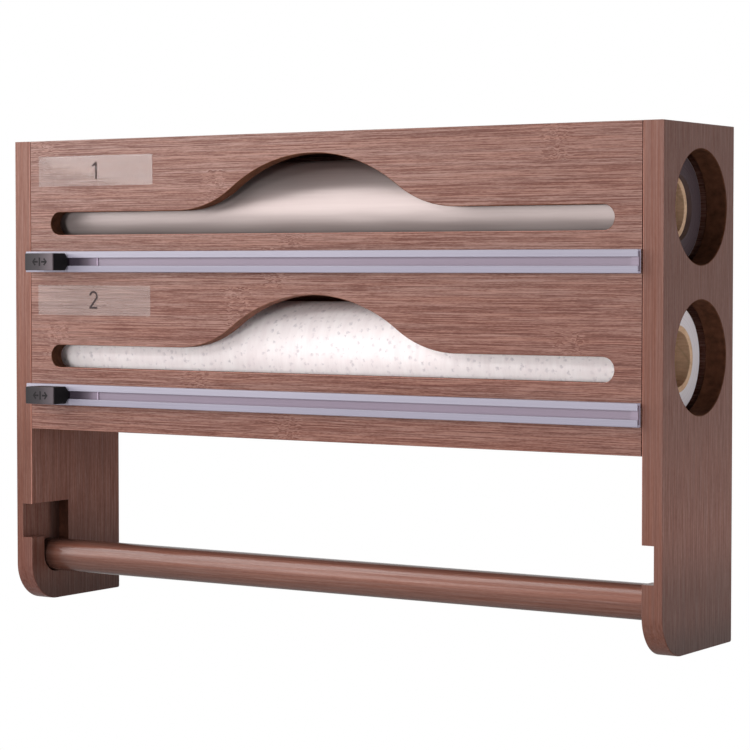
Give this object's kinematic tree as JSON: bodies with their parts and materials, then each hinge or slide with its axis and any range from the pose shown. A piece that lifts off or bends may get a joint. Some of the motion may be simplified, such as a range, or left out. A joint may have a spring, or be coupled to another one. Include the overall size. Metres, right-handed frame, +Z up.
{
  "type": "wall dispenser for foil and cling film with a towel rod",
  "caption": "Wooden wall dispenser with a foil bay, a film bay, slide cutters under the outlets and a lift-out rod for a towel roll.",
  "frame": {"origin": "centre of the back board's rear face, which lies on the wall", "axes": "+X to the user's right, +Y into the wall, +Z up"},
  "size_m": [0.4, 0.0944, 0.255],
  "materials": {
    "bamboo": "stained reddish brown bamboo, satin lacquer",
    "card": "matte brown card",
    "foil": "soft metallic",
    "film": "milky white, faintly dimpled",
    "rail": "satin light grey",
    "tape": "white foam tape",
    "black_plastic": "semi-gloss black",
    "grey_plastic": "semi-gloss grey",
    "grey_face": "dark grey metallic",
    "blade_steel": "ground steel",
    "sticker": "clear sticker with dark print"
  },
  "bodies": {
    "case": {"left_side_panel": "bamboo", "right_side_panel": "bamboo", "front_panel": "bamboo", "back_board": "bamboo", "top_board": "bamboo", "middle_shelf": "bamboo", "bottom_shelf": "bamboo", "top_dowel_left_front": "bamboo", "top_dowel_left_back": "bamboo", "top_dowel_right_front": "bamboo", "top_dowel_right_back": "bamboo", "middle_dowel_left_front": "bamboo", "middle_dowel_left_back": "bamboo", "middle_dowel_right_front": "bamboo", "middle_dowel_right_back": "bamboo", "bottom_dowel_left_front": "bamboo", "bottom_dowel_left_back": "bamboo", "bottom_dowel_right_front": "bamboo", "bottom_dowel_right_back": "bamboo", "upper_cutter_rail": "rail", "upper_rail_tape": "tape", "upper_rail_stop_left": "rail", "upper_rail_stop_right": "rail", "lower_cutter_rail": "rail", "lower_rail_tape": "tape", "lower_rail_stop_left": "rail", "lower_rail_stop_right": "rail"},
    "upper_slider": {"upper_slider_shoe": "grey_plastic", "upper_slider_grip": "black_plastic", "upper_slider_face": "grey_face", "upper_slider_blade": "blade_steel"},
    "lower_slider": {"lower_slider_shoe": "grey_plastic", "lower_slider_grip": "black_plastic", "lower_slider_face": "grey_face", "lower_slider_blade": "blade_steel"},
    "foil_roll": {"foil_winding": "foil", "foil_core": "card"},
    "film_roll": {"film_winding": "film", "film_core": "card"},
    "towel_rod": {"towel_rod": "bamboo"}
  },
  "joints": [
    {"name": "upper_slider_travel", "type": "slide", "parent": "case", "child": "upper_slider", "axis": [1, 0, 0], "range_m": [0, 0.3236]},
    {"name": "lower_slider_travel", "type": "slide", "parent": "case", "child": "lower_slider", "axis": [1, 0, 0], "range_m": [0, 0.3236]},
    {"name": "foil_roll_turn", "type": "hinge", "parent": "case", "child": "foil_roll", "pos_m": [0, -0.0362, 0.0392], "axis": [1, 0, 0], "continuous": true},
    {"name": "film_roll_turn", "type": "hinge", "parent": "case", "child": "film_roll", "pos_m": [0, -0.0362, -0.0342], "axis": [1, 0, 0], "continuous": true},
    {"name": "towel_rod_lift", "type": "slide", "parent": "case", "child": "towel_rod", "axis": [0, 0, 1], "range_m": [0, 0.0203]}
  ]
}
